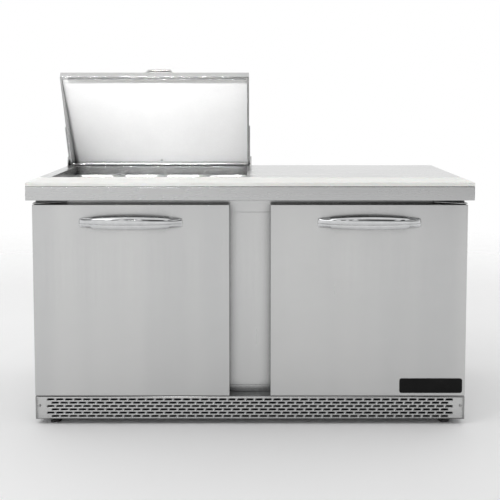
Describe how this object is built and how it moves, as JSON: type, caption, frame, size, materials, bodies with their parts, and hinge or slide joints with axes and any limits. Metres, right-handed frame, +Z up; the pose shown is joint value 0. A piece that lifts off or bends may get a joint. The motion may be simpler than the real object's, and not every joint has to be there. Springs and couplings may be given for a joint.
{
  "type": "sandwich prep table",
  "caption": "Refrigerated prep table with hinged doors, a full-width cutting board, lift-out food pans under a hinged insulated lid and a bottom grille.",
  "frame": {"origin": "on the floor, under the middle of the table's overall box with its lid open", "axes": "+X to the right of a person standing at the table, +Y from the door fronts to the back, +Z up"},
  "size_m": [1.524, 0.8654, 1.2409],
  "materials": {
    "stainless": "satin",
    "pan_steel": "satin",
    "galvanised": "matte",
    "chrome": "polished",
    "lid_panel": "gloss",
    "board_plastic": "matte",
    "liner_plastic": "satin",
    "gasket_rubber": "matte",
    "black_plastic": "satin",
    "black_enamel": "satin",
    "copper": "satin",
    "fin_aluminium": "satin",
    "anodised": "satin",
    "coated_wire": "satin"
  },
  "bodies": {
    "cabinet": {"left_side_panel": "stainless", "right_side_panel": "stainless", "back_panel": "galvanised", "base_pan": "galvanised", "top_rail": "stainless", "bottom_rail": "stainless", "mullion": "stainless", "interior_liner": "liner_plastic", "shelf_post": "anodised", "left_shelf": "coated_wire", "right_shelf": "coated_wire", "front_grille": "stainless", "worktop": "stainless", "pan_well": "stainless", "divider_bar": "stainless", "foot_front_left": "black_plastic", "foot_rear_left": "black_plastic", "foot_front_right": "black_plastic", "foot_rear_right": "black_plastic", "left_top_hinge": "stainless", "left_bottom_hinge": "stainless", "right_top_hinge": "stainless", "right_bottom_hinge": "stainless", "lid_hinge_left": "stainless", "lid_hinge_right": "stainless", "evaporator_cover": "fin_aluminium", "evaporator_coil": "fin_aluminium", "evaporator_fan_motor": "black_enamel", "condenser_coil": "fin_aluminium", "condenser_fan_motor": "black_enamel", "compressor": "black_enamel", "discharge_line": "copper", "condensate_pan": "black_plastic", "temperature_control": "black_plastic", "cord_gland": "black_plastic"},
    "left_door": {"left_door_skin": "stainless", "left_door_liner": "liner_plastic", "left_door_gasket": "gasket_rubber", "left_door_handle": "chrome"},
    "right_door": {"right_door_skin": "stainless", "right_door_liner": "liner_plastic", "right_door_gasket": "gasket_rubber", "right_door_handle": "chrome", "name_plate": "black_plastic"},
    "lid": {"lid_shell": "stainless", "lid_inner_panel": "lid_panel", "lid_arm_left": "stainless", "lid_arm_right": "stainless", "lid_handle": "stainless"},
    "board": {"cutting_board": "board_plastic"},
    "front_pan_1": {"pan_front_1": "pan_steel"},
    "front_pan_2": {"pan_front_2": "pan_steel"},
    "front_pan_3": {"pan_front_3": "pan_steel"},
    "front_pan_4": {"pan_front_4": "pan_steel"},
    "rear_pan_1": {"pan_rear_1": "pan_steel"},
    "rear_pan_2": {"pan_rear_2": "pan_steel"},
    "rear_pan_3": {"pan_rear_3": "pan_steel"},
    "rear_pan_4": {"pan_rear_4": "pan_steel"},
    "evaporator_blades": {"evaporator_fan": "black_plastic"},
    "condenser_blades": {"condenser_fan": "black_plastic"}
  },
  "joints": [
    {"name": "left_door_hinge", "type": "hinge", "parent": "cabinet", "child": "left_door", "pos_m": [-0.734, -0.37339, 0.434], "axis": [0, 0, -1], "range_deg": [0, 110]},
    {"name": "right_door_hinge", "type": "hinge", "parent": "cabinet", "child": "right_door", "pos_m": [0.734, -0.37339, 0.434], "axis": [0, 0, 1], "range_deg": [0, 110]},
    {"name": "lid_hinge", "type": "hinge", "parent": "cabinet", "child": "lid", "pos_m": [-0.375, 0.31061, 0.855], "axis": [-1, 0, 0], "range_deg": [-62.9, 0]},
    {"name": "cutting_board_lift", "type": "slide", "parent": "cabinet", "child": "board", "axis": [0, 0, 1], "range_m": [0, 0.1]},
    {"name": "front_pan_1_lift", "type": "slide", "parent": "cabinet", "child": "front_pan_1", "axis": [0, 0, 1], "range_m": [0, 0.14]},
    {"name": "front_pan_2_lift", "type": "slide", "parent": "cabinet", "child": "front_pan_2", "axis": [0, 0, 1], "range_m": [0, 0.14]},
    {"name": "front_pan_3_lift", "type": "slide", "parent": "cabinet", "child": "front_pan_3", "axis": [0, 0, 1], "range_m": [0, 0.14]},
    {"name": "front_pan_4_lift", "type": "slide", "parent": "cabinet", "child": "front_pan_4", "axis": [0, 0, 1], "range_m": [0, 0.14]},
    {"name": "rear_pan_1_lift", "type": "slide", "parent": "cabinet", "child": "rear_pan_1", "axis": [0, 0, 1], "range_m": [0, 0.14]},
    {"name": "rear_pan_2_lift", "type": "slide", "parent": "cabinet", "child": "rear_pan_2", "axis": [0, 0, 1], "range_m": [0, 0.14]},
    {"name": "rear_pan_3_lift", "type": "slide", "parent": "cabinet", "child": "rear_pan_3", "axis": [0, 0, 1], "range_m": [0, 0.14]},
    {"name": "rear_pan_4_lift", "type": "slide", "parent": "cabinet", "child": "rear_pan_4", "axis": [0, 0, 1], "range_m": [0, 0.14]},
    {"name": "evaporator_fan_spin", "type": "hinge", "parent": "cabinet", "child": "evaporator_blades", "pos_m": [0, 0.16761, 0.48], "axis": [0, 1, 0], "continuous": true},
    {"name": "condenser_fan_spin", "type": "hinge", "parent": "cabinet", "child": "condenser_blades", "pos_m": [-0.25, 0.24261, 0.165], "axis": [0, 1, 0], "continuous": true}
  ]
}
